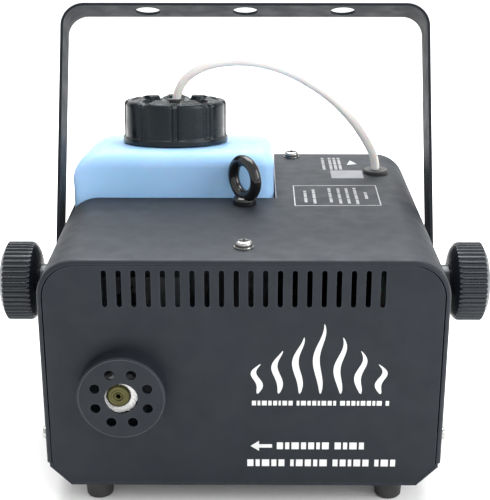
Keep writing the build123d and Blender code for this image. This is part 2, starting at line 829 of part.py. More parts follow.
def knob(sign):
    """Ribbed clamp knob: domed end, ribbed grip, rounded shoulder and round neck."""
    base = half_width + 2.7 + strip + 1.0
    shoulder = knob_shoulder
    inner = shoulder - 5.4
    outline = Polyline((base, 0), (base, neck_radius), (inner, neck_radius))
    back = ThreePointArc((inner, neck_radius), (inner + 1.6, 16.6), (shoulder, knob_radius))
    rim = knob_end - 2.4
    front_line = Polyline((shoulder, knob_radius), (rim - 2.4, knob_radius), (rim, 16.0))
    dome = ThreePointArc((rim, 16.0), (knob_end - 0.7, 9.3), (knob_end, 3.0))
    close = Polyline((knob_end, 3.0), (knob_end, 0), (base, 0))
    face = make_face(outline + back + front_line + dome + close)
    body = revolve(face, axis=Axis.X, revolution_arc=360)
    body -= rod(stud_radius, (base - 1, 0, 0), (base + 12, 0, 0))
    grip = Circle(knob_radius + 2) - Circle(knob_radius - 0.8)
    for index in range(knob_ribs):
        grip -= Rot(0, 0, index * 360 / knob_ribs) * Pos(knob_radius, 0) * Rectangle(6, 1.25)
    body -= extrude(Plane.YZ.offset(shoulder - 3.2) * grip, amount=rim - shoulder + 4)
    if sign < 0:
        body = Rot(0, 0, 180) * body
    return Pos(*at_pivot(0)) * body


def stud(sign):
    base = half_width + 2.7 + strip + 1.0
    return rod(stud_radius, at_pivot(sign * (half_width - 9.3)), at_pivot(sign * (base + 12)))


def clamp_washer(sign):
    start = half_width + 2.7 + strip
    return pipe(9.0, stud_radius + 0.15, at_pivot(sign * start), at_pivot(sign * (start + 1.0)))


def pivot_spacer(sign):
    return pipe(10.0, stud_radius + 0.1, at_pivot(sign * half_width), at_pivot(sign * (half_width + 2.7)))


def pivot_nut(sign):
    """Weld nut inside the cover, with its flats to the front and the back."""
    plane = Plane(origin=at_pivot(sign * (half_width - sheet)), x_dir=(0, 1, 0), z_dir=(-sign, 0, 0))
    bore = stud_radius + stud_clearance
    flange = extrude(plane * (Circle(6.2) - Circle(bore)), amount=1.5)
    outline = RegularPolygon(5.5, 6, major_radius=False, rotation=30) - Circle(bore)
    return flange + extrude(plane * outline, amount=7.0)


# ---- tank and cap ----

def tank_shape(inset):
    x = (tank_x[0] + inset, tank_x[1] - inset)
    back = (tank_back[0] + inset, tank_back[1] - inset)
    fall = math.tan(math.radians(tank_slope))
    top = above(tank_top) - inset / math.cos(math.radians(tank_slope))
    low = above(tank_floor) + inset
    points = [(behind(back[0]), low), (behind(back[1]), low),
              (behind(back[1]), top - (back[1] - cap_back) * fall),
              (behind(back[0]), top + (cap_back - back[0]) * fall)]
    face = make_face(Polyline(*points, close=True))
    body = extrude(Plane.YZ.offset(x[0]) * face, amount=x[1] - x[0])
    body = fillet(body.edges().filter_by(Axis.Z), 10 - inset)
    upper = body.faces().sort_by(Axis.Z)[-1]
    body = fillet(upper.edges(), 8.5 - inset)
    lower = body.faces().sort_by(Axis.Z)[0]
    return fillet(lower.edges(), 4 - inset)


def neck_plane(height=0.0):
    tilt = math.radians(tank_slope)
    axis = (0, math.sin(tilt), math.cos(tilt))
    plane = Plane(origin=(cap_x, behind(cap_back), above(tank_top)), x_dir=(1, 0, 0), z_dir=axis)
    return plane.offset(height)


def ring(outer, inner, low, high):
    return extrude(neck_plane(low) * (Circle(outer) - Circle(inner)), amount=high - low)


def tank():
    body = tank_shape(0)
    body += extrude(neck_plane(-1.2) * Circle(23.0), amount=neck_height + 1.2)
    for height in (5.0, 10.0):
        body += ring(23.8, 22.0, height, height + 1.4)
    body -= tank_shape(tank_wall)
    body -= extrude(neck_plane(-6) * Circle(20.5), amount=neck_height + 8)
    return body


bush_hole = 4.7


def tank_cap():
    low = 0.5
    body = extrude(neck_plane(low) * Circle(cap_radius), amount=cap_height)
    body = fillet(body.edges().sort_by(Axis.Z)[-1], 2.4)
    for index in range(cap_lobes):
        angle = math.radians(-87 + 360 / cap_lobes * index)
        place = Pos((cap_radius + 0.9) * math.cos(angle), (cap_radius + 0.9) * math.sin(angle))
        body -= extrude(neck_plane(low + 3.0) * place * Circle(2.0), amount=cap_height)
    body += extrude(neck_plane(low) * Circle(28.1), amount=3.0)
    body -= extrude(neck_plane(low - 1) * Circle(24.6), amount=neck_height + 2.4)
    body -= extrude(neck_plane(low + cap_height - 1.2) * (Circle(15) - Circle(9)), amount=3)
    body += ring(23.0, 17.0, low + cap_height - 1.0, low + cap_height + 0.9)
    body -= extrude(neck_plane(low) * Circle(bush_hole), amount=cap_height + 3)
    return body


def cap_liner():
    return ring(24.2, 7.6, neck_height + 0.1, neck_height + 1.7)


def cap_bush():
    top = 0.5 + cap_height
    body = ring(bush_hole - 0.1, hose_radius + 0.1, neck_height + 0.1, top)
    return body + ring(7.0, hose_radius + 0.1, neck_height + 0.1, neck_height + 1.7)


tube_joint = neck_height - 4
pickup_length = 99.0


def pickup_tube():
    return extrude(neck_plane(tube_joint) * (Circle(hose_radius) - Circle(1.3)), amount=-pickup_length)


def pickup_filter():
    plane = neck_plane(tube_joint - pickup_length)
    body = extrude(plane * Circle(6.0), amount=-14)
    body = fillet(body.edges(), 1.5)
    return body - extrude(plane * Circle(1.3), amount=-10)


def hose_points():
    """The free hose: out of the cap, over in an uneven arch and down into the grommet."""
    start = neck_plane(tube_joint).origin
    first = neck_plane(cap_height + 5.5).origin
    middle = [(-26.0, 132.0, 172.5), (-9.5, 131.6, 176.6), (8.0, 132.6, 175.6), (24.0, 133.4, 170.2),
              (38.0, 134.8, 162.0), (49.5, 135.4, 153.0), (59.0, 136.6, 142.5), (66.5, 137.0, 131.4),
              (72.0, 137.4, 120.5)]
    points = [(start.X, start.Y, start.Z), (first.X, first.Y, first.Z)]
    for x, back, height in middle:
        points.append((x, behind(back), above(height)))
    points.append((grommet_x, behind(grommet_back), above(109.0)))
    return points


def hose():
    return route_tube(hose_points(), hose_radius, 1.4, "hose")


def hose_grommet():
    x = grommet_x
    y = behind(grommet_back)
    under = roof - sheet - 0.4
    body = rod(6.8, (x, y, roof), (x, y, roof + 2.2))
    body = fillet(body.edges().sort_by(Axis.Z)[-1], 1.0)
    body += rod(5.0, (x, y, under), (x, y, roof))
    body += rod(6.0, (x, y, under - 2), (x, y, under))
    return body - rod(hose_radius + 0.3, (x, y, roof - 10), (x, y, roof + 5))


def write(name, shape):
    if isinstance(shape, (list, tuple)):
        shape = Compound(list(shape))
    export_step(shape, "parts/" + name + ".step")


def main():
    os.makedirs("parts", exist_ok=True)
    makers = [top_cover, base_pan, front_panel, rear_panel, tank_tray, feet, foot_screws, foot_nuts,
              top_screws, top_washers, top_nuts, side_screws, eyebolt, eyebolt_nut, nozzle_guard,
              guard_rivets, nozzle, nozzle_collar, heater_block, heater_elements, heater_case,
              heater_insulation, heater_stands, thermostat, heater_inlet, pump_body, pump_plunger,
              pump_spring, pump_bracket, pump_outlet_tube, pump_inlet_tube, control_board, board_parts,
              board_posts, terminal_strip, mains_inlet, inlet_screws, fuse_holder, fuse_cap, fuse,
              switch_frame, power_rocker, remote_socket, yoke, tank, tank_cap, cap_liner, cap_bush,
              pickup_tube, pickup_filter, hose, hose_grommet]
    for maker in makers:
        write(maker.__name__, maker())
    for sign, side in ((-1, "left"), (1, "right")):
        write("knob_" + side, knob(sign))
        write("stud_" + side, stud(sign))
        write("clamp_washer_" + side, clamp_washer(sign))
    write("pivot_spacers", [pivot_spacer(-1), pivot_spacer(1)])
    write("pivot_nuts", [pivot_nut(-1), pivot_nut(1)])


main()
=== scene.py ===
# Compact fog machine: the looks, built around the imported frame.
import json
import math
import bmesh
import bpy
import numpy as np
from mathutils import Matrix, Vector


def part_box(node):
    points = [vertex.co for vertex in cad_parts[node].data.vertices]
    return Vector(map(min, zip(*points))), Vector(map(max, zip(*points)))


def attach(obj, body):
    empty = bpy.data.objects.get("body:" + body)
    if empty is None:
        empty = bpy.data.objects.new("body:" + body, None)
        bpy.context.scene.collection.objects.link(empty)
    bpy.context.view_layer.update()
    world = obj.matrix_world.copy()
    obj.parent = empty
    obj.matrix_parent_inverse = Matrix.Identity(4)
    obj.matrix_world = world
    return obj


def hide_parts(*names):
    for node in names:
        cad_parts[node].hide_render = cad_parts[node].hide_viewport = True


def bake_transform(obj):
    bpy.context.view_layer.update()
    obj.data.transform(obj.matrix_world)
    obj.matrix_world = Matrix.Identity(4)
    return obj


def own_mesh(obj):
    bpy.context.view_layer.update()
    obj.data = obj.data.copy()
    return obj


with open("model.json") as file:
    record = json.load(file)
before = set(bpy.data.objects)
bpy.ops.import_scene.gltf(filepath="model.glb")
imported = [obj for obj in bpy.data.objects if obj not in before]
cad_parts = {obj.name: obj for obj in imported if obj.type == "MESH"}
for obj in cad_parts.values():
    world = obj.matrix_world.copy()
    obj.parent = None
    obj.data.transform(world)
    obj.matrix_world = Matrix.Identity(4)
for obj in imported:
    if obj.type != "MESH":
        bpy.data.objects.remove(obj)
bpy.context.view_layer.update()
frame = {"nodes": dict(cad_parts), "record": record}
mm = 0.001
print("frame loaded:", len(frame["nodes"]), "nodes")

# the housing's own faces, in metres
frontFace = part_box("front_panel")[0].y
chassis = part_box("base_pan")[0].z
roof = chassis + 113.7 * mm

# the tank's neck, which the tank, its cap and the hose share: millimetres behind the front and over the
# chassis, and the slope of the tank's top in degrees
neckAt = {"x": -37.5, "back": 130.5, "height": 133.0, "slope": 7.5}
lean = math.radians(neckAt["slope"])
capAxis = (0.0, math.sin(lean), math.cos(lean))
capBase = (neckAt["x"] * mm, frontFace + neckAt["back"] * mm, chassis + neckAt["height"] * mm)

view = {"place": (0.00311, -0.5625, 0.30645), "tilt": 69.7, "turn": 0.3, "lens": 83.07}
cameraData = bpy.data.cameras.new("camera")
cameraData.sensor_width = 36
cameraData.lens = view["lens"]
camera = bpy.data.objects.new("camera", cameraData)
camera.location = view["place"]
camera.rotation_euler = (math.radians(view["tilt"]), 0, math.radians(view["turn"]))
bpy.context.scene.collection.objects.link(camera)
bpy.context.scene.camera = camera


def gridFaces(rows, columns, looped):
    # each quad joins a point to the next one round and the next one along; a looped grid closes both ways
    row = np.arange(rows if looped else rows - 1)[:, None] * columns
    after = (row + columns) % (rows * columns)
    here = np.arange(columns)[None, :]
    beside = (here + 1) % columns
    return np.stack([row + here, row + beside, after + beside, after + here], -1).reshape(-1, 4)


def closedSkin(name, grid, looped=False, smooth=True):
    # a grid of rings makes a closed skin: its two end rings are filled, or joined to each other if looped
    rows, columns = grid.shape[:2]
    faces = gridFaces(rows, columns, looped).tolist()
    if not looped:
        faces += [list(range(columns)), list(range((rows - 1) * columns, rows * columns))]
    mesh = bpy.data.meshes.new(name)
    mesh.from_pydata(grid.reshape(-1, 3).tolist(), [], faces)
    work = bmesh.new()
    work.from_mesh(mesh)
    bmesh.ops.recalc_face_normals(work, faces=work.faces)
    work.to_mesh(mesh)
    work.free()
    mesh.polygons.foreach_set("use_smooth", np.full(len(mesh.polygons), smooth))
    piece = bpy.data.objects.new(name, mesh)
    bpy.context.scene.collection.objects.link(piece)
    return piece


def evenly(corners, step):
    # points at equal steps along a line of corners, by interpolation over its length
    corners = np.array(corners, float)
    along = np.r_[0, np.cumsum(np.linalg.norm(np.diff(corners, axis=0), axis=1))]
    places = np.unique(np.r_[np.arange(0, along[-1], step), along])
    return np.stack([np.interp(places, along, corners[:, k]) for k in range(corners.shape[1])], -1)


def arcPoints(middle, radius, start, end, count=8):
    # middle plus radius times the cosine and sine of an angle that runs from start to end, in degrees
    angle = np.radians(np.linspace(start, end, count))
    return [(middle[0] + radius * c, middle[1] + radius * s) for c, s in zip(np.cos(angle), np.sin(angle))]


def turned(name, profile, origin, axis, side, count, shape=None, looped=False):
    # a profile of radius and height carried round an axis: origin + height * axis + radius * (cos, sin)
    profile = np.array(profile, float)
    angle = np.linspace(0, 2 * np.pi, count, endpoint=False)[None, :]
    radius = np.repeat(profile[:, :1], count, 1)
    height = np.repeat(profile[:, 1:], count, 1)
    if shape:
        radius, height = shape(radius, height, angle)
    axis, side = np.array(axis, float), np.array(side, float)
    across = np.cross(axis, side)
    ring = np.cos(angle)[..., None] * side + np.sin(angle)[..., None] * across
    grid = np.array(origin) + mm * (height[..., None] * axis + radius[..., None] * ring)
    return closedSkin(name, grid, looped)


def tube(name, path, radius, count=24):
    # a circle carried along a path, its two directions turned with the path from one point to the next
    path = np.array(path, float)
    ahead = np.gradient(path, axis=0)
    ahead /= np.linalg.norm(ahead, axis=1)[:, None]
    side = np.cross(ahead, (0.0, 1.0, 0.0))
    side /= np.linalg.norm(side, axis=1)[:, None]
    up = np.cross(side, ahead)
    angle = np.linspace(0, 2 * np.pi, count, endpoint=False)
    ring = np.cos(angle)[None, :, None] * side[:, None] + np.sin(angle)[None, :, None] * up[:, None]
    return closedSkin(name, path[:, None] + radius * ring)


hoseLook = {"diameter": 4.5 * mm, "length": 0.1626, "inside": 14.0, "clear": 28.0}
# the arch from cap to grommet: x, then the distance behind the front and over the chassis, in millimetres
hoseArch = [(-26.0, 132.0, 172.5), (-9.5, 131.6, 176.6), (8.0, 132.6, 175.6), (24.0, 133.4, 170.2),
            (38.0, 134.8, 162.0), (49.5, 135.4, 153.0), (59.0, 136.6, 142.5), (66.5, 137.0, 131.4),
            (72.0, 137.4, 120.5), (72.0, 137.5, 109.0)]
hoseRoute = [tuple(round(base + hoseLook[reach] * mm * way, 6) for base, way in zip(capBase, capAxis))
             for reach in ("inside", "clear")]
hoseRoute += [(x * mm, frontFace + back * mm, chassis + height * mm) for x, back, height in hoseArch]


def routeLine(points):
    # the NURBS spline's own points, read from a curve with no bevel
    data = bpy.data.curves.new("route", "CURVE")
    data.dimensions = "3D"
    data.resolution_u = 16
    spline = data.splines.new("NURBS")
    spline.points.add(len(points) - 1)
    spline.points.foreach_set("co", np.c_[np.array(points), np.ones(len(points))].ravel())
    spline.order_u = 3
    spline.use_endpoint_u = True
    holder = bpy.data.objects.new("route", data)
    bpy.context.scene.collection.objects.link(holder)
    line = bpy.data.meshes.new_from_object(holder)
    found = np.zeros(len(line.vertices) * 3)
    line.vertices.foreach_get("co", found)
    bpy.data.objects.remove(holder)
    bpy.data.curves.remove(data)
    bpy.data.meshes.remove(line)
    return found.reshape(-1, 3)


hosePath = routeLine(hoseRoute)
hose = tube("feedHose", hosePath, hoseLook["diameter"] / 2)
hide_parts("hose")
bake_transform(hose)
print("hose laid")

# colour and second are mixed by a soft noise, rough is the lowest and highest roughness, grain is noise
# per metre, depth is the grain's height in millimetres, the edge amount is a painted highlight along
# edges, broken into patches like wear, dust lightens what faces up, metal and gloss are the shader's own,
# and tint colours the gloss
finishes = {
    "cover_paint": {"colour": (0.0085, 0.0105, 0.015), "second": (0.01, 0.0122, 0.0172),
                    "rough": (0.5, 0.62), "grain": 1500, "depth": 0.035, "edgeSheenAndWear": 0.5, "dust": 0.01,
                    "gloss": 0.3, "tint": (0.9, 0.97, 1.0)},
    "yoke_paint": {"colour": (0.0085, 0.0105, 0.014), "second": (0.01, 0.012, 0.016),
                   "rough": (0.5, 0.62), "grain": 1500, "depth": 0.03, "edgeSheenAndWear": 0.5, "dust": 0.01,
                   "gloss": 0.12, "tint": (0.9, 0.97, 1.0)},
    "knob_plastic": {"colour": (0.006, 0.0075, 0.011), "second": (0.0085, 0.01, 0.014),
                     "rough": (0.24, 0.38), "grain": 2200, "depth": 0.012, "edgeSheenAndWear": 0.45, "dust": 0.03,
                     "tint": (0.9, 0.96, 1.0)},
    "cap_plastic": {"colour": (0.004, 0.0052, 0.0072), "second": (0.006, 0.0074, 0.0096),
                    "rough": (0.2, 0.36), "grain": 1800, "depth": 0.01, "edgeSheenAndWear": 0.3, "dust": 0.02,
                    "gloss": 0.3, "tint": (0.8, 0.95, 1.0)},
    "tank_plastic": {"colour": (0.31, 0.52, 0.78), "second": (0.33, 0.54, 0.8), "rough": (0.34, 0.42),
                     "grain": 600, "depth": 0.012, "gloss": 0.25},
    "hose_silicone": {"colour": (0.6, 0.6, 0.585), "second": (0.68, 0.68, 0.66), "rough": (0.3, 0.46),
                      "grain": 900, "depth": 0.008},
    "rubber": {"colour": (0.014, 0.014, 0.015), "second": (0.024, 0.024, 0.025), "rough": (0.55, 0.75),
               "grain": 2500, "depth": 0.015, "edgeSheenAndWear": 0.2, "dust": 0.12},
    "black_cast": {"colour": (0.004, 0.004, 0.005), "second": (0.007, 0.007, 0.008),
                   "rough": (0.05, 0.16), "grain": 420, "depth": 0.1, "edgeSheenAndWear": 0.2, "dust": 0.03},
    "zinc": {"colour": (0.32, 0.32, 0.31), "second": (0.56, 0.56, 0.54), "rough": (0.1, 0.24),
             "grain": 1500, "depth": 0.006, "metal": 1.0},
    "galvanised": {"colour": (0.48, 0.5, 0.52), "second": (0.6, 0.62, 0.64), "rough": (0.3, 0.5),
                   "grain": 260, "depth": 0.006, "dust": 0.05, "metal": 1.0},
    "brass": {"colour": (0.05, 0.05, 0.02), "second": (0.1, 0.095, 0.042), "rough": (0.32, 0.55),
              "grain": 1200, "depth": 0.02, "metal": 1.0},
    "ceramic": {"colour": (0.9, 0.9, 0.88), "second": (0.96, 0.96, 0.95), "rough": (0.7, 0.9),
                "grain": 1600, "depth": 0.1},
    "aluminium": {"colour": (0.66, 0.67, 0.68), "second": (0.76, 0.77, 0.78), "rough": (0.28, 0.46),
                  "grain": 700, "depth": 0.02, "metal": 1.0},
    "black_plastic": {"colour": (0.013, 0.013, 0.014), "second": (0.02, 0.02, 0.022),
                      "rough": (0.28, 0.44), "grain": 1600, "depth": 0.012, "edgeSheenAndWear": 0.25, "dust": 0.05},
    "board": {"colour": (0.02, 0.12, 0.05), "second": (0.03, 0.17, 0.07), "rough": (0.3, 0.45),
              "grain": 900, "depth": 0.01, "dust": 0.05},
    "fuse_glass": {"colour": (0.85, 0.88, 0.88), "second": (0.92, 0.94, 0.94), "rough": (0.04, 0.12),
                   "grain": 400, "depth": 0.003},
    "print_ink": {"colour": (0.58, 0.58, 0.58), "second": (0.7, 0.7, 0.7), "rough": (0.42, 0.6),
                  "grain": 1500, "depth": 0.03},
    "faded_ink": {"colour": (0.24, 0.24, 0.25), "second": (0.4, 0.4, 0.41), "rough": (0.5, 0.66),
                  "grain": 1500, "depth": 0.03},
    # a pale grey for the painted highlight on the nozzle guard's rounded rim
    "rim_highlight_grey": {"colour": (0.085, 0.088, 0.095), "second": (0.12, 0.123, 0.13), "rough": (0.34, 0.5),
                  "grain": 1500, "depth": 0.02},
    "label_grey": {"colour": (0.17, 0.175, 0.19), "second": (0.21, 0.215, 0.23), "rough": (0.45, 0.6),
                   "grain": 1900, "depth": 0.03},
}


def noiseNode(tree, where, scale, detail):
    node = tree.nodes.new("ShaderNodeTexNoise")
    node.inputs["Scale"].default_value = scale
    node.inputs["Detail"].default_value = detail
    tree.links.new(where, node.inputs["Vector"])
    return node.outputs["Fac"]


def rangeNode(tree, value, low, high, newLow, newHigh):
    node = tree.nodes.new("ShaderNodeMapRange")
    for socket, number in (("From Min", low), ("From Max", high), ("To Min", newLow), ("To Max", newHigh)):
        node.inputs[socket].default_value = number
    tree.links.new(value, node.inputs["Value"])
    return node.outputs["Result"]


def mixNode(tree, share, first, second):
    # either colour may be a fixed one or another node's
    node = tree.nodes.new("ShaderNodeMix")
    node.data_type = "RGBA"
    tree.links.new(share, node.inputs["Factor"])
    for socket, colour in ((node.inputs[6], first), (node.inputs[7], second)):
        if isinstance(colour, tuple):
            socket.default_value = (*colour, 1)
        else:
            tree.links.new(colour, socket)
    return node.outputs[2]


def edgeNode(tree, reach):
    # how far a rounded normal leans from the true one, which is only so beside an edge
    rounded = tree.nodes.new("ShaderNodeBevel")
    rounded.samples = 4
    rounded.inputs["Radius"].default_value = reach
    true = tree.nodes.new("ShaderNodeNewGeometry")
    dot = tree.nodes.new("ShaderNodeVectorMath")
    dot.operation = "DOT_PRODUCT"
    tree.links.new(rounded.outputs["Normal"], dot.inputs[0])
    tree.links.new(true.outputs["Normal"], dot.inputs[1])
    return dot.outputs["Value"]


def upwardNode(tree):
    true = tree.nodes.new("ShaderNodeNewGeometry")
    parts = tree.nodes.new("ShaderNodeSeparateXYZ")
    tree.links.new(true.outputs["Normal"], parts.inputs[0])
    return parts.outputs["Z"]


def timesNode(tree, first, second):
    node = tree.nodes.new("ShaderNodeMath")
    node.operation = "MULTIPLY"
    tree.links.new(first, node.inputs[0])
    tree.links.new(second, node.inputs[1])
    return node.outputs[0]


# scales of the noises that every finish shares, per metre, and the width of the painted edge highlight in
# millimetres
patches = {"mottle": 45, "rough": 110, "dust": 160, "edgeSheenAndWear": 260, "edge": 0.7}
dustColour = (0.42, 0.41, 0.39)


def makeFinish(name, look):
    material = bpy.data.materials.new(name)
    material.use_nodes = True
    tree = material.node_tree
    shader = tree.nodes["Principled BSDF"]
    where = tree.nodes.new("ShaderNodeTexCoord").outputs["Object"]
    mottle = noiseNode(tree, where, patches["mottle"], 4)
    grain = noiseNode(tree, where, look["grain"], 2)
    colour = mixNode(tree, rangeNode(tree, mottle, 0.35, 0.65, 0, 1), look["colour"], look["second"])
    if "dust" in look:
        settled = timesNode(tree, rangeNode(tree, upwardNode(tree), 0.5, 1, 0, look["dust"]),
                            rangeNode(tree, noiseNode(tree, where, patches["dust"], 5), 0.4, 0.7, 0.2, 1))
        colour = mixNode(tree, settled, colour, dustColour)
    # painted highlight: a pale colour is mixed in beside edges, in noise patches, for light catching the
    # rounded edges; partly edge wear too
    if "edgeSheenAndWear" in look:
        edge = edgeNode(tree, patches["edge"] * mm)
        sheenedEdge = timesNode(tree, rangeNode(tree, edge, 0.995, 0.93, 0, look["edgeSheenAndWear"]),
                         rangeNode(tree, noiseNode(tree, where, patches["edgeSheenAndWear"], 4), 0.35, 0.65, 0.35, 1))
        colour = mixNode(tree, sheenedEdge, colour, tuple(min(3.2 * c + 0.02, 1) for c in look["second"]))
    tree.links.new(colour, shader.inputs["Base Color"])
    rough = rangeNode(tree, noiseNode(tree, where, patches["rough"], 5), 0.35, 0.65, *look["rough"])
    tree.links.new(rough, shader.inputs["Roughness"])
    shader.inputs["Metallic"].default_value = look.get("metal", 0.0)
    shader.inputs["Specular IOR Level"].default_value = look.get("gloss", 0.5)
    shader.inputs["Specular Tint"].default_value = (*look.get("tint", (1.0, 1.0, 1.0)), 1)
    bump = tree.nodes.new("ShaderNodeBump")
    bump.inputs["Strength"].default_value = 0.8
    bump.inputs["Distance"].default_value = look["depth"] * mm
    tree.links.new(grain, bump.inputs["Height"])
    tree.links.new(bump.outputs["Normal"], shader.inputs["Normal"])
    return material, shader


paints = {name: makeFinish(name, look) for name, look in finishes.items()}
# light sinks this far into the milky plastics, and passes through the glass
for name, depth in (("tank_plastic", 6 * mm), ("hose_silicone", 3 * mm)):
    paints[name][1].inputs["Subsurface Weight"].default_value = 0.5
    paints[name][1].inputs["Subsurface Scale"].default_value = depth
paints["fuse_glass"][1].inputs["Transmission Weight"].default_value = 0.9

for part in frame["record"]["subparts"]:
    slots = frame["nodes"][part["node"]].data.materials
    slots.clear()
    slots.append(paints[part["material_slot"]][0])


def dress(piece, finish, body, *nodes):
    # a new piece gets its finish, the CAD nodes that it stands for, and the body that it rides on
    piece.data.materials.append(paints[finish][0])
    if nodes:
        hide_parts(*nodes)
    if body:
        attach(piece, body)
    return piece


hose.data.materials.append(paints["hose_silicone"][0])
print("finishes made:", len(paints))

knobLook = {"ribs": 45, "ribDepth": 1.1, "grip": 20.4, "neck": 8.5, "start": 98, "back": 5.4,
            "shoulder": 111.0, "from": 107.0, "to": 124.4, "end": 127.0, "round": 720, "step": 0.6}


def ribbed(radius, height, angle):
    # the grooves' floor is the grip's radius less a clipped cosine of the angle times the number of ribs,
    # and the grip is cut down to it wherever it stands higher, so the grooves run out on the round back
    look = knobLook
    wave = np.clip(0.8 - 0.8 * np.cos(look["ribs"] * angle), 0, 1)
    window = np.clip((height - look["from"]) / 0.9, 0, 1) * np.clip((look["to"] - height) / 0.7, 0, 1)
    return np.minimum(radius, look["grip"] - look["ribDepth"] * wave * window), height + 0 * angle


def clampKnob(name, sign, body, *nodes):
    # a neck, a quarter ellipse out to the grip, the grip, and a domed end
    pivot = (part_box("stud_left")[0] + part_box("stud_left")[1]) / 2
    look = knobLook
    tangent = look["shoulder"] - look["back"]
    outline = [(look["neck"], look["start"])]
    outline += [(look["neck"] + (look["grip"] - look["neck"]) * math.sin(t),
                 tangent + look["back"] * (1 - math.cos(t))) for t in np.linspace(0, math.pi / 2, 14)]
    outline += [(look["grip"], 122.2), (16.0, 124.6), (11.0, 125.9), (6.0, 126.7), (1.0, look["end"])]
    dense = np.vstack([[(1, look["start"])], evenly(outline, look["step"])])
    knob = turned(name, dense, (0, pivot.y, pivot.z), (sign, 0, 0), (0, 0, 1), look["round"], ribbed)
    return dress(knob, "knob_plastic", body, *nodes)


clampKnob("clampKnobLeft", -1, "knob_left", "knob_left")
clampKnob("clampKnobRight", 1, "knob_right", "knob_right")
print("knobs turned")

tankLook = {"left": -89.5, "right": 15.3, "front": 92.3, "back": 169.5, "low": 29.0, "squareness": 11.0,
            "shoulder": 8.5, "leftShoulder": 17.0, "foot": 4.0, "neck": 22.9, "neckHeight": 17.8,
            "waist": 0.2, "around": 288}


def tankOutline(inset, leftInset):
    # a superellipse with each side drawn in by the inset, and the left side by its own
    look = tankLook
    angle = np.linspace(0, 2 * np.pi, look["around"], endpoint=False)
    circle = np.stack([np.cos(angle), np.sin(angle)], -1)
    low = np.array([look["left"] + leftInset, look["front"] + inset])
    high = np.array([look["right"] - inset, look["back"] - inset])
    bent = np.sign(circle) * np.abs(circle) ** (2 / look["squareness"])
    return (low + high) / 2 + (high - low) / 2 * bent, circle


def fluidTank():
    # rings rise from the foot's round, up the wall, round the shoulder and over the top to the neck's
    # circle; a round's inset is its radius times (1 - cos) and its height is its radius times sin
    look, top = tankLook, neckAt["height"]
    rings = []
    for turn in np.radians(np.linspace(0, 90, 7)):
        inset = look["foot"] * (1 - np.sin(turn))
        rings.append((tankOutline(inset, inset)[0], look["low"] + look["foot"] * (1 - np.cos(turn))))
    # the shoulder is higher on the left, by the square of how far a point of the ring faces left
    circle = tankOutline(0, 0)[1]
    left = np.clip(-circle[:, 0], 0, 1) ** 2
    shoulder = look["shoulder"] + (look["leftShoulder"] - look["shoulder"]) * left
    wallLow = look["low"] + look["foot"]
    for share in np.linspace(0.04, 0.97, 42):
        inset = look["waist"] * (1 - math.sin(math.pi * share))
        rings.append((tankOutline(inset, inset)[0], wallLow + share * (top - shoulder - wallLow)))
    for turn in np.radians(np.linspace(0, 90, 14)):
        drawn = 1 - math.cos(turn)
        outline = tankOutline(look["shoulder"] * drawn, look["leftShoulder"] * drawn)[0]
        rings.append((outline, top - shoulder * (1 - math.sin(turn))))
    neck = look["neck"] * circle + (neckAt["x"], neckAt["back"])
    for share in np.linspace(0.15, 1, 7):
        rings.append((outline + (neck - outline) * share, top))
    plane = np.array([ring for ring, height in rings])
    height = np.array([height + 0 * shoulder for ring, height in rings])
    # the higher a point is, the more of the top's slope it takes
    fall = (plane[..., 1] - neckAt["back"]) * math.tan(lean)
    height = height - fall * (height - look["low"]) / (top - look["low"])
    grid = np.stack([plane[..., 0] * mm, frontFace + plane[..., 1] * mm,
                     chassis + height * mm], -1)
    raised = np.linspace(0.05, 1, 6)[:, None, None] * look["neckHeight"] * mm * np.array(capAxis)
    return closedSkin("fluidTank", np.concatenate([grid, grid[-1:] + raised]))


dress(fluidTank(), "tank_plastic", "tank", "tank")
print("tank blown")

capLook = {"lobes": 9, "first": -87, "radius": 27.5, "flange": 28.1, "flangeTop": 3.4, "top": 23.0,
           "bore": 24.7, "roof": 20.4, "hole": 4.8, "sunk": 3.4, "claw": 15.5, "hump": 1.2}


def lobed(radius, height, angle):
    # away is 0 in a groove and 1 at a lobe's middle; the skirt swells to each lobe and has two fine lines
    # beside each groove, and the crown sinks inside the claws, which reach in from the lobes' middles
    look = capLook
    pitch = 2 * np.pi / look["lobes"]
    offset = (angle - math.radians(look["first"]) + pitch / 2) % pitch - pitch / 2
    away = np.abs(offset) / (pitch / 2)
    skirt = (radius > 25.6) & (height > look["flangeTop"])
    fade = np.clip((height - look["flangeTop"]) / 1.2, 0, 1)
    line = np.exp(-((np.abs(offset) - 0.052) / 0.017) ** 2)
    swell = 1.0 * (1 - away) ** 2.2
    radius = radius - np.where(skirt, fade * (swell + 0.75 * line), 0)
    upper = height > look["roof"] + 0.4
    inner = np.clip((22.6 - radius) / (22.6 - look["claw"]), 0, 1)
    claw = np.clip((away - 0.30) / 0.18, 0, 1) * np.clip((radius - look["claw"]) / 2.2, 0, 1)
    hump = look["hump"] * claw * np.exp(-(((radius - 20.0) / 3.4) ** 2))
    valley = look["sunk"] * (inner ** 2 * (3 - 2 * inner)) * (1 - claw)
    notch = 1.5 * np.exp(-((offset / 0.085) ** 2)) * np.clip((radius - 15) / 6, 0, 1)
    rays = 0.35 * np.cos(2 * look["lobes"] * angle) ** 8 * np.clip((13.5 - radius) / 3, 0, 1)
    boss = 1.9 * np.clip((8.2 - radius) / 1.6, 0, 1)
    drop = np.where(upper, np.clip(valley - boss - rays, -0.2, 9) + notch - hump, 0)
    return radius, np.maximum(height - drop, np.where(upper, look["roof"] - 1.2, -9))


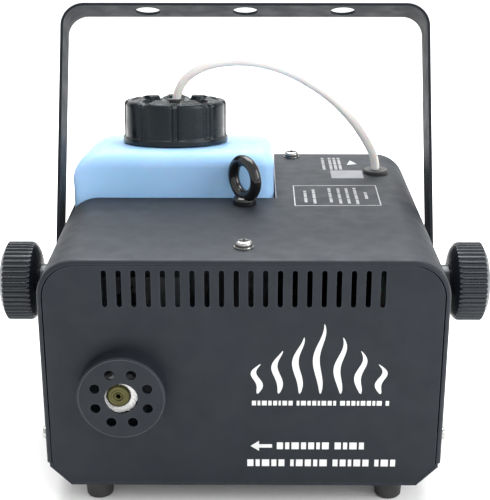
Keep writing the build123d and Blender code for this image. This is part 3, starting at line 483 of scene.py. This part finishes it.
def tankCap():
    look = capLook
    outside = [(look["hole"], look["top"] - 0.3), (look["radius"] - 2.4, look["top"] - 0.3)]
    outside += arcPoints((look["radius"] - 2.4, look["top"] - 2.7), 2.4, 90, 0, 7)
    outside += [(look["radius"], look["flangeTop"] + 0.6), (look["flange"] - 0.1, look["flangeTop"]),
                (look["flange"], look["flangeTop"] - 0.5), (look["flange"], 1.0),
                (look["flange"] - 0.5, 0.5)]
    inside = [(look["bore"], 0.5), (look["bore"], look["roof"] - 2.2), (look["hole"], look["roof"] - 2.2)]
    profile = np.vstack([evenly(outside, 0.5), evenly([outside[-1]] + inside, 3.0)[1:]])
    return turned("tankCap", profile, capBase, capAxis, (1, 0, 0), 720, lobed, looped=True)


dress(tankCap(), "cap_plastic", "cap", "tank_cap")
print("cap moulded")

nozzleLook = {"x": -56.9, "height": 50.2, "flange": 9.1, "ragged": 0.18}
nozzleAt = (nozzleLook["x"] * mm, frontFace, chassis + nozzleLook["height"] * mm)
tipProfile = [(0.8, -28), (5.0, -28), (5.0, -12), (8.0, -12), (8.0, -8.1), (5.45, -8.1), (5.45, 6.1),
              (5.15, 6.8), (4.7, 7.0), (4.15, 7.0), (3.95, 6.5), (3.2, 6.5), (3.05, 6.9), (2.4, 6.9),
              (2.2, 6.2), (1.75, 6.2), (1.6, 6.75), (1.2, 6.75), (0.9, 6.2), (0.8, 5.0), (0.8, 3.0)]
tip = turned("nozzleTip", evenly(tipProfile, 0.6), nozzleAt, (0, -1, 0), (1, 0, 0), 128)
dress(tip, "brass", "housing", "nozzle")


def fibrous(radius, height, angle):
    # the packing's rim and face are pushed about by a few waves of the angle that don't repeat together
    rough = np.sin(7 * angle + 1.3) + 0.8 * np.sin(17 * angle + 0.4) + 0.6 * np.sin(41 * angle)
    front = np.clip((height - 1.3) / 1.5, 0, 1) * np.clip((radius - 8.4) / 0.6, 0, 1)
    wavy = 0.16 * np.sin(23 * angle + radius * 2.1) * np.clip((height - 4.4) / 0.6, 0, 1)
    return radius + nozzleLook["ragged"] * rough * front, height + wavy


packingProfile = [(5.6, -7.7), (8.5, -7.7), (8.5, 1.5), (nozzleLook["flange"], 1.5),
                  (nozzleLook["flange"], 4.9), (8.6, 5.6), (7.2, 5.7), (5.6, 5.4)]
packing = turned("nozzlePacking", evenly(packingProfile, 0.4), nozzleAt, (0, -1, 0), (1, 0, 0), 480, fibrous,
                 looped=True)
dress(packing, "ceramic", "housing", "nozzle_collar")
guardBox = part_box("nozzle_guard")
guardAt = ((guardBox[0].x + guardBox[1].x) / 2, guardBox[0].y, (guardBox[0].z + guardBox[1].z) / 2)
# a thin pale ring on the guard's front edge: a painted highlight where light catches the rounded rim
rimProfile = [(19.25, -0.25), (19.75, -0.45), (19.75, -0.15), (19.35, 0.04)]
guardRimHighlight = turned("guardRimHighlight", rimProfile, guardAt, (0, -1, 0), (1, 0, 0), 160, looped=True)
dress(guardRimHighlight, "rim_highlight_grey", "housing")
print("nozzle and its packing made")

eyeLook = {"back": 81.8, "height": 13.3, "radius": 9.1, "thick": 2.8, "turn": -52}


def safetyEye():
    # a circle carried round a ring, swollen a little where the ring meets its collar
    look = eyeLook
    big = np.linspace(0, 2 * np.pi, 192, endpoint=False)[:, None]
    small = np.linspace(0, 2 * np.pi, 64, endpoint=False)[None, :]
    thick = look["thick"] * (1 + 0.10 * np.clip(-np.sin(big), 0, 1) ** 4 - 0.03 * np.sin(2 * big))
    reach = look["radius"] + thick * np.cos(small)
    flat = math.radians(look["turn"])
    x = reach * np.cos(big) * math.cos(flat) - thick * np.sin(small) * math.sin(flat)
    y = reach * np.cos(big) * math.sin(flat) + thick * np.sin(small) * math.cos(flat)
    z = reach * np.sin(big) + look["height"] + 0 * small
    grid = np.stack([x * mm, frontFace + (look["back"] + y) * mm, roof + np.maximum(z, 1.0) * mm], -1)
    return closedSkin("safetyEye", grid, looped=True)


dress(safetyEye(), "black_cast", "housing", "eyebolt")
collarProfile = [(1, -12), (2.95, -12), (2.95, 0.02), (6.0, 0.02), (6.1, 0.5), (5.95, 2.7), (5.5, 3.5),
                 (4.4, 4.2), (1, 4.4)]
eyeFoot = (0, frontFace + eyeLook["back"] * mm, roof)
collar = turned("safetyEyeCollar", evenly(collarProfile, 0.8), eyeFoot, (0, 0, 1), (1, 0, 0), 96)
dress(collar, "black_cast", "housing")
print("safety eye cast")

springLook = {"seat": 14.0, "low": 14.5, "high": 29.5, "pitch": 2.4, "radius": 3.8, "wire": 0.45,
              "back": 60.0, "height": 38.0, "keep": 0.905}


def pumpSpring():
    # a circle of wire carried round a helix: x rises by the pitch in each turn, y and z are the radius
    # times the cosine and sine of the turn
    look = springLook
    turn = np.linspace(0, 2 * np.pi * (look["high"] - look["low"]) / look["pitch"], 400)[:, None]
    small = np.linspace(0, 2 * np.pi, 12, endpoint=False)[None, :]
    reach = look["radius"] + look["wire"] * np.cos(small)
    x = look["low"] + look["pitch"] * turn / (2 * np.pi) + look["wire"] * np.sin(small)
    y = frontFace + (look["back"] + reach * np.cos(turn)) * mm
    z = chassis + (look["height"] + reach * np.sin(turn)) * mm
    return closedSkin("pumpSpring", np.stack([x * mm, y, z], -1))


spring = dress(pumpSpring(), "zinc", "housing", "pump_spring")
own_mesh(spring)
print("pump spring wound")

inkLook = {"thick": 0.05, "labelThick": 0.12, "lift": 0.02}
strandLook = {"count": 7, "middle": 34.5, "spread": 9.4, "foot": 60.4, "tallest": 35.0, "sway": 2.3,
              "fewer": 0.19}


def onFront(u, v, lift):
    return np.stack([u * mm, frontFace - lift * mm + 0 * u, v * mm + 0 * u], -1)


def onRoof(u, v, lift):
    return np.stack([u * mm, frontFace + v * mm, roof + lift * mm + 0 * u], -1)


def printed(name, outlines, place, finish, thick=inkLook["thick"]):
    # every outline becomes a thin closed plate: its face, its back and a quad for each side
    points, faces = [], []
    for outline in outlines:
        outline = np.array(outline, float)
        count, first = len(outline), len(points)
        for lift in (inkLook["lift"], inkLook["lift"] + thick):
            points += place(outline[:, 0], outline[:, 1], lift).tolist()
        low, high = list(range(first, first + count)), list(range(first + count, first + 2 * count))
        faces += [low[::-1], high]
        faces += [[low[k], low[(k + 1) % count], high[(k + 1) % count], high[k]] for k in range(count)]
    mesh = bpy.data.meshes.new(name)
    mesh.from_pydata(points, [], faces)
    work = bmesh.new()
    work.from_mesh(mesh)
    bmesh.ops.recalc_face_normals(work, faces=work.faces)
    work.to_mesh(mesh)
    work.free()
    piece = bpy.data.objects.new(name, mesh)
    bpy.context.scene.collection.objects.link(piece)
    return dress(piece, finish, "housing")


def strand(number):
    # a wavy ribbon: its middle is a sine of the height, and its width swells and dies away
    look = strandLook
    share = np.linspace(0, 1, 40)
    fromMiddle = number - (look["count"] - 1) / 2
    middle = (look["middle"] + fromMiddle * look["spread"]
              + look["sway"] * np.sin(2 * np.pi * 1.1 * share + 0.5 * number) * (0.3 + 0.7 * share))
    width = 0.15 + 3.0 * np.sin(np.pi * share ** 0.8) ** 0.7
    height = look["foot"] + share * look["tallest"] * (1 - abs(fromMiddle) * look["fewer"])
    left, right = np.stack([middle - width / 2, height], -1), np.stack([middle + width / 2, height], -1)
    return np.vstack([left, right[::-1]])


def blocks(start, end, middle, tall, word=6, upright=False):
    # plain blocks of uneven width in groups, standing in for lines of small print
    pattern = (2.1, 1.4, 2.5, 1.7, 2.0, 1.2, 2.3)
    found, here, number = [], start, 0
    while True:
        wide = pattern[number % len(pattern)] * tall / 2.6
        if here + wide > end:
            return found
        edges = [(here, middle - tall / 2), (here + wide, middle - tall / 2),
                 (here + wide, middle + tall / 2), (here, middle + tall / 2)]
        found.append([(v, u) for u, v in edges] if upright else edges)
        here += wide + (0.35 if (number + 1) % word else 0.95) * tall * 0.8
        number += 1


strands = [strand(number) for number in range(strandLook["count"])]
printed("vapourEmblem", strands, onFront, "print_ink")
printed("frontSmallPrint", blocks(3.8, 67.6, 55.6, 2.4, 8), onFront, "print_ink")
arrow = [(3.2, 33.1), (7.2, 35.8), (7.2, 34.0), (13.3, 34.0), (13.3, 32.2), (7.2, 32.2), (7.2, 30.5)]
printed("frontArrow", [arrow], onFront, "print_ink")
largePrint = blocks(15.5, 57.0, 33.2, 3.6, 7) + blocks(1.7, 73.1, 24.1, 3.6, 5)
printed("frontLines", largePrint, onFront, "print_ink")


def bar(start, end, wide):
    # a straight line of the frame, as a thin four-cornered outline
    start, end = np.array(start), np.array(end)
    side = np.array([start[1] - end[1], end[0] - start[0]])
    side = side / np.linalg.norm(side) * wide / 2
    return [start - side, end - side, end + side, start + side]


corners = [(25.7, 112.4), (69.3, 113.0), (68.8, 79.0), (25.5, 78.2)]
frameLines = [bar(corners[k], corners[(k + 1) % 4], 0.55) for k in range(4)]
textColumns = [(31.3, 84, 104), (35.8, 82, 106), (44.2, 84, 108), (48.9, 82, 108), (53.2, 82, 108),
               (57.5, 81, 109), (62.7, 90, 102)]
for x, low, high in textColumns:
    frameLines += blocks(low, high, x, 1.5, 5, upright=True)
printed("roofFrame", frameLines, onRoof, "faded_ink")
smallPrint = []
for x in (44.0, 48.0, 50.6, 53.2):
    smallPrint += blocks(143, 168, x, 1.6, 6, upright=True)
smallPrint.append([(57.2, 152.5), (63.0, 154.0), (59.6, 161.5)])
printed("roofSmallPrint", smallPrint, onRoof, "faded_ink")
sticker = [(47, 126), (64.5, 126), (64.5, 141), (47, 141)]
printed("roofSticker", [sticker], onRoof, "label_grey", inkLook["labelThick"])
print("printing laid")

stageLook = {"floor": 12.0, "pale": (0.93, 0.93, 0.93), "world": 1.0}
floorMesh = bpy.data.meshes.new("floor")
half = stageLook["floor"] / 2
floorCorners = [(-half, -half, 0), (half, -half, 0), (half, half, 0), (-half, half, 0)]
floorMesh.from_pydata(floorCorners, [], [(0, 1, 2, 3)])
floor = bpy.data.objects.new("floor", floorMesh)
bpy.context.scene.collection.objects.link(floor)
floorPaint = bpy.data.materials.new("floorPaint")
floorPaint.use_nodes = True
floorPaint.node_tree.nodes["Principled BSDF"].inputs["Base Color"].default_value = (*stageLook["pale"], 1)
floorPaint.node_tree.nodes["Principled BSDF"].inputs["Roughness"].default_value = 0.8
floor.data.materials.append(floorPaint)

lights = {
    "overhead": {"place": (0.0, 0.55, 1.15), "size": 1.1, "power": 30, "aim": (0, 0, 0.1)},
    "frontSoft": {"place": (0.6, -1.3, 0.75), "size": 1.2, "power": 3.5, "aim": (0, 0, 0.08)},
    "rightSoft": {"place": (1.2, -0.5, 0.7), "size": 0.9, "power": 13, "aim": (0, 0, 0.1)},
}
for name, look in lights.items():
    lightData = bpy.data.lights.new(name, "AREA")
    lightData.size = look["size"]
    lightData.energy = look["power"]
    lamp = bpy.data.objects.new(name, lightData)
    lamp.location = look["place"]
    lamp.rotation_euler = (Vector(look["aim"]) - Vector(look["place"])).to_track_quat("-Z", "Y").to_euler()
    bpy.context.scene.collection.objects.link(lamp)
world = bpy.data.worlds.new("world")
world.use_nodes = True
world.node_tree.nodes["Background"].inputs["Color"].default_value = (1, 1, 1, 1)
world.node_tree.nodes["Background"].inputs["Strength"].default_value = stageLook["world"]
bpy.context.scene.world = world
bpy.context.scene.view_settings.view_transform = "Standard"
print("stage set")
